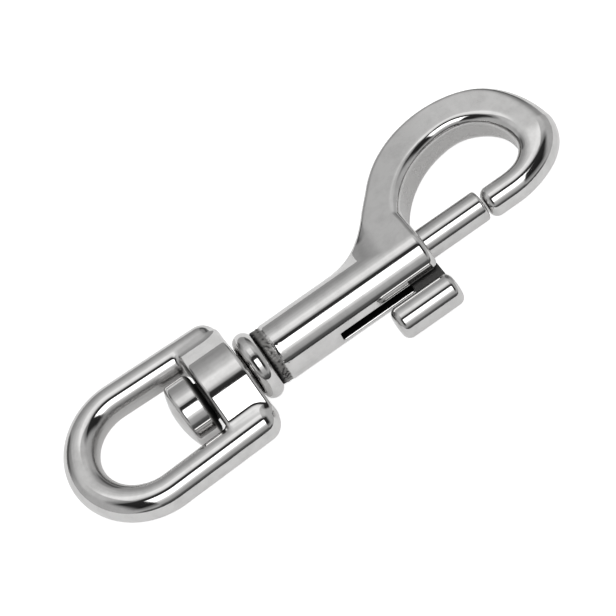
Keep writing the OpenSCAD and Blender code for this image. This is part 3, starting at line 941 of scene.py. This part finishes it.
def join_shapes(mesh, tool, operation):
    """Cuts a mesh with another, or runs the two into one closed shape."""
    a = bpy.data.objects.new("shape", mesh)
    b = bpy.data.objects.new("tool", tool)
    for o in (a, b):
        bpy.context.scene.collection.objects.link(o)
    modifier = a.modifiers.new("Join", "BOOLEAN")
    modifier.operation, modifier.object, modifier.solver = operation, b, "EXACT"
    depsgraph = bpy.context.evaluated_depsgraph_get()
    made = bpy.data.meshes.new_from_object(a.evaluated_get(depsgraph), depsgraph=depsgraph)
    for o in (a, b):
        bpy.data.objects.remove(o)
    if not made.polygons:
        raise RuntimeError(f"the {operation.lower()} of {mesh.name} came out empty")
    return made


# --- Operators --------------------------------------------------------------


class SNAPHOOK_OT_body(bpy.types.Operator):
    """Cast the barrel, the neck and the hook as one polished piece"""

    bl_idname = "snap_hook.body"
    bl_label = "Cast Hook Body"

    def execute(self, context):
        scene = context.scene
        made = hook_field(scene.snap_hook_body, scene.snap_hook_turned)
        mesh = cast("hook_casting", *made, "hook_body", 0.22)
        show("hook_casting", mesh, "polished_casting", "cast_steel", "hook", "hook_body")
        return {"FINISHED"}


class SNAPHOOK_OT_bolt(bpy.types.Operator):
    """Turn the bolt and the thumb bar, and join them with the flat stem"""

    bl_idname = "snap_hook.bolt"
    bl_label = "Turn Bolt and Thumb Bar"

    def execute(self, context):
        t = context.scene.snap_hook_turned
        tree = turned_tree()
        bolt_y = (BOLT_LOW[1] + BOLT_HIGH[1]) / 2
        thumb_y = THUMB_LOW[1] + t.thumb_d / MM / 2
        stem_x = MOUTH_X - 0.1
        stem_low = [stem_x - t.stem_len / MM, thumb_y, AXIS_Z - t.stem_w / MM / 2]
        stem_high = [stem_x, THUMB_HIGH[1], AXIS_Z + t.stem_w / MM / 2]
        rod_mesh = grow(tree, "bolt", start=(BOLT_LOW[0] * MM, bolt_y * MM, AXIS_Z * MM),
                        length=(BOLT_HIGH[0] - BOLT_LOW[0]) * MM, diameter=t.bolt_d,
                        back_edge=0.3 * MM, front_edge=t.bolt_edge)
        seat = block("seat", np.array(stem_low) - 0.01, np.array(stem_high) + 0.01, 0)
        rod_mesh = join_shapes(rod_mesh, seat, "DIFFERENCE")
        show("bolt_turned", rod_mesh, "polished_turning", "turned_steel", "bolt", "bolt_rod")
        thumb = grow(tree, "thumb", start=(THUMB_LOW[0] * MM, thumb_y * MM, AXIS_Z * MM),
                     length=(THUMB_HIGH[0] - THUMB_LOW[0]) * MM, diameter=t.thumb_d,
                     back_edge=t.thumb_edge, front_edge=t.thumb_edge)
        thumb = join_shapes(thumb, block("stem", stem_low, stem_high, 0.08), "UNION")
        stem_mid, stem_half = (stem_low[0] + stem_high[0]) / 2, (stem_high[0] - stem_low[0]) / 2
        stem_root = thumb_y + t.thumb_d / MM / 2 - 0.5
        points = np.empty(len(thumb.vertices) * 3)
        thumb.vertices.foreach_get("co", points)
        x, y, _ = points.reshape(-1, 3).T / MM
        # Painted shade on the flat stem, where it runs between the thumb bar and the barrel
        mark_skin(thumb, STEM_PAINTED_SHADE * (y > stem_root) * (np.abs(x - stem_mid) < stem_half + 0.1))
        show("thumb_bar_turned", thumb, "polished_turning", "turned_steel", "bolt", "thumb_bar")
        return {"FINISHED"}


class SNAPHOOK_OT_spring(bpy.types.Operator):
    """Wind the return spring between the pin and the bolt"""

    bl_idname = "snap_hook.spring"
    bl_label = "Wind Return Spring"

    def execute(self, context):
        t = context.scene.snap_hook_turned
        middle = (SPRING_LOW + SPRING_HIGH) / 2
        mesh = grow(coil_tree(), "spring_wire", start=(SPRING_LOW[0] * MM, middle[1] * MM,
                                                       middle[2] * MM),
                    length=(SPRING_HIGH[0] - SPRING_LOW[0]) * MM,
                    coil_diameter=(SPRING_HIGH[1] - SPRING_LOW[1]) * MM - t.wire_d,
                    wire_diameter=t.wire_d, turns=t.turns)
        spring = bpy.data.objects.new("spring_wire", mesh)
        context.scene.collection.objects.link(spring)
        mesh.materials.clear()
        mesh.materials.append(finish_named("spring_wire"))
        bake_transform(spring)
        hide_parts("return_spring")
        return {"FINISHED"}


class SNAPHOOK_OT_swivel(bpy.types.Operator):
    """Make the swivel pin and the collar bead round it"""

    bl_idname = "snap_hook.swivel"
    bl_label = "Make Swivel Pin and Collar"

    def execute(self, context):
        t = context.scene.snap_hook_turned
        mesh = cast("swivel_pin_turned", *pin_field(t), "swivel_pin", 0.15)
        show("swivel_pin_turned", mesh, "polished_turning", "turned_steel", "hook", "swivel_pin")
        mesh = cast("collar_bead", *collar_field(t), "swivel_collar", 0.12)
        show("collar_bead", mesh, "polished_casting", "cast_steel", "hook", "swivel_collar")
        return {"FINISHED"}


class SNAPHOOK_OT_eye(bpy.types.Operator):
    """Cast the swivel eye with its cross bar"""

    bl_idname = "snap_hook.eye"
    bl_label = "Cast Swivel Eye"

    def execute(self, context):
        scene = context.scene
        made = eye_field(scene.snap_hook_eye, scene.snap_hook_turned)
        mesh = cast("eye_casting", *made, "swivel_eye", 0.19)
        show("eye_casting", mesh, "polished_casting", "cast_steel", "eye", "swivel_eye")
        return {"FINISHED"}


# Brightness of the light tent, by degrees from straight up towards the camera's side. FRONT
# is what the middle of the tent shows, and FLANK what is past the ends of its bright panel.
FRONT = (
    (-180, 0.50), (-100, 0.50), (-88, 0.42), (-75, 0.38), (-60, 0.46), (-45, 0.64),
    (-33, 0.82), (-22, 1.20), (-9, 1.10), (-2, 0.60), (3, 0.04), (11, 0.03), (14, 0.15),
    (16, 3.0), (36, 3.0), (45, 1.05), (56, 0.58), (68, 0.46), (77, 0.12), (90, 0.05),
    (100, 0.3), (180, 0.40),
)
FLANK = (
    (-180, 0.40), (-90, 0.30), (-75, 0.10), (-60, 0.35), (-35, 0.75), (-15, 0.65),
    (-2, 0.30), (6, 0.03), (48, 0.02), (58, 0.25), (72, 0.50), (82, 0.12), (90, 0.06),
    (180, 0.40),
)


class SNAPHOOK_OT_stage(bpy.types.Operator):
    """Set up the pale floor, the light tent and the camera"""

    bl_idname = "snap_hook.stage"
    bl_label = "Set Stage"

    def execute(self, context):
        scene = context.scene
        self.floor(scene)
        self.tent(scene)
        self.camera(scene)
        scene.view_settings.view_transform = "Standard"
        return {"FINISHED"}

    def floor(self, scene):
        mesh = bpy.data.meshes.new("floor")
        side = 2.0
        mesh.from_pydata([(-side, -side, 0), (side, -side, 0), (side, side, 0),
                          (-side, side, 0)], [], [(0, 1, 2, 3)])
        floor = bpy.data.objects.new("floor", mesh)
        scene.collection.objects.link(floor)
        material = bpy.data.materials.new("pale_floor")
        material.use_nodes = True
        tree = material.node_tree
        tree.nodes.clear()
        # Paper that looks white, and dims to grey in the steel's reflections
        seen = tree.nodes.new("ShaderNodeLightPath").outputs["Is Camera Ray"]
        paper = put(tree, "ShaderNodeBsdfDiffuse", {"Color": (0.8, 0.8, 0.8, 1.0)})
        glow = put(tree, "ShaderNodeEmission",
                   {"Color": (1.0, 1.0, 1.0, 1.0),
                    "Strength": calc(tree, "MULTIPLY_ADD", seen, 0.45, 0.32)})
        both = put(tree, "ShaderNodeAddShader", {0: paper.outputs[0], 1: glow.outputs[0]})
        put(tree, "ShaderNodeOutputMaterial", {"Surface": both.outputs[0]})
        mesh.materials.append(material)
        floor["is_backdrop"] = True

    def tent(self, scene):
        world = bpy.data.worlds.new("light_tent")
        scene.world = world
        world.use_nodes = True
        tree = world.node_tree
        tree.nodes.clear()
        towards = put(tree, "ShaderNodeSeparateXYZ",
                      {0: tree.nodes.new("ShaderNodeTexCoord").outputs["Generated"]}).outputs
        turn = calc(tree, "ARCTAN2", calc(tree, "MULTIPLY", towards["Y"], -1.0), towards["Z"])
        turn = calc(tree, "MULTIPLY_ADD", turn, 0.5 / math.pi, 0.5)
        top = max(bright for _, bright in FRONT)
        side = calc(tree, "ABSOLUTE", towards["X"])
        front, flank = (self.wall(tree, turn, stops, top) for stops in (FRONT, FLANK))
        sky = self.past(tree, side, 0.33, 0.40, front, flank)
        sky = self.past(tree, side, 0.62, 0.85, sky, (0.55 / top,) * 3 + (1.0,))
        light = put(tree, "ShaderNodeBackground", {"Color": sky, "Strength": top})
        put(tree, "ShaderNodeOutputWorld", {"Surface": light.outputs[0]})

    def wall(self, tree, turn, stops, top):
        """A band of brightness round the tent."""
        band = put(tree, "ShaderNodeValToRGB", {0: turn})
        points = band.color_ramp.elements
        band.color_ramp.interpolation = "EASE"
        while len(points) < len(stops):
            points.new(0.5)
        for point, (degrees, bright) in zip(points, stops):
            point.position = degrees / 360 + 0.5
            point.color = (bright / top,) * 3 + (1.0,)
        return band.outputs[0]

    def past(self, tree, side, start, end, inner, outer):
        """Goes over from one brightness to another, towards the ends of the tent."""
        far = put(tree, "ShaderNodeMapRange",
                  {"Value": side, "From Min": start, "From Max": end},
                  interpolation_type="SMOOTHSTEP").outputs[0]
        return put(tree, "ShaderNodeMix", {0: far, 6: inner, 7: outer},
                   data_type="RGBA").outputs[2]

    def camera(self, scene):
        low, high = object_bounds()
        tilt, swing, roll = (math.radians(a) for a in (35.0, 4.0, 34.95))
        up_z = Vector((0, -math.sin(tilt), math.cos(tilt)))
        along = Vector((1, 0, 0)) * math.cos(swing) + up_z * math.sin(swing)
        towards = -Vector((1, 0, 0)) * math.sin(swing) + up_z * math.cos(swing)
        across = Vector((0, math.cos(tilt), math.sin(tilt)))
        right = along * math.cos(roll) - across * math.sin(roll)
        up = along * math.sin(roll) + across * math.cos(roll)
        distance, view_width = 0.45, IMAGE_WIDTH * 0.1471 * MM
        data = bpy.data.cameras.new("camera")
        data.sensor_width = 36.0
        data.lens = 36.0 * distance / view_width
        data.clip_start, data.clip_end = 0.01, 10.0
        camera = bpy.data.objects.new("camera", data)
        scene.collection.objects.link(camera)
        aim = Vector((low.x + high.x, 0, 0)) / 2 + Vector((0, AXIS_Y, AXIS_Z)) * MM
        aim_right, aim_up = -2.69, 1.42
        aim = aim + right * aim_right * MM + up * aim_up * MM
        spot = aim + towards * distance
        camera.matrix_world = Matrix((
            (right.x, up.x, towards.x, spot.x), (right.y, up.y, towards.y, spot.y),
            (right.z, up.z, towards.z, spot.z), (0, 0, 0, 1)))
        scene.camera = camera


class SNAPHOOK_PT_panel(bpy.types.Panel):
    """Lists the pieces in the sidebar"""

    bl_label = "Snap Hook"
    bl_idname = "SNAPHOOK_PT_panel"
    bl_space_type = "VIEW_3D"
    bl_region_type = "UI"
    bl_category = "Snap Hook"

    def draw(self, context):
        for operator in STEPS:
            self.layout.operator(operator.bl_idname)
        for group in ("snap_hook_body", "snap_hook_turned", "snap_hook_eye",
                      "snap_hook_finish"):
            box = self.layout.box()
            values = getattr(context.scene, group)
            for key in values.bl_rna.properties.keys():
                if key not in ("rna_type", "name"):
                    box.prop(values, key)


STEPS = (SNAPHOOK_OT_body, SNAPHOOK_OT_bolt, SNAPHOOK_OT_spring, SNAPHOOK_OT_swivel,
         SNAPHOOK_OT_eye, SNAPHOOK_OT_stage)
GROUPS = {"snap_hook_body": SnapHookBodySizes, "snap_hook_turned": SnapHookTurnedSizes,
          "snap_hook_eye": SnapHookEyeSizes, "snap_hook_finish": SnapHookFinish}


def register():
    for kind in (*GROUPS.values(), *STEPS, SNAPHOOK_PT_panel):
        bpy.utils.register_class(kind)
    for name, kind in GROUPS.items():
        setattr(bpy.types.Scene, name, bpy.props.PointerProperty(type=kind))


def unregister():
    for name in GROUPS:
        delattr(bpy.types.Scene, name)
    for kind in (SNAPHOOK_PT_panel, *reversed(STEPS), *GROUPS.values()):
        bpy.utils.unregister_class(kind)


def main():
    register()
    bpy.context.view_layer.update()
    for step in STEPS:
        group, name = step.bl_idname.split(".")
        getattr(getattr(bpy.ops, group), name)()


if __name__ == "__main__":
    main()
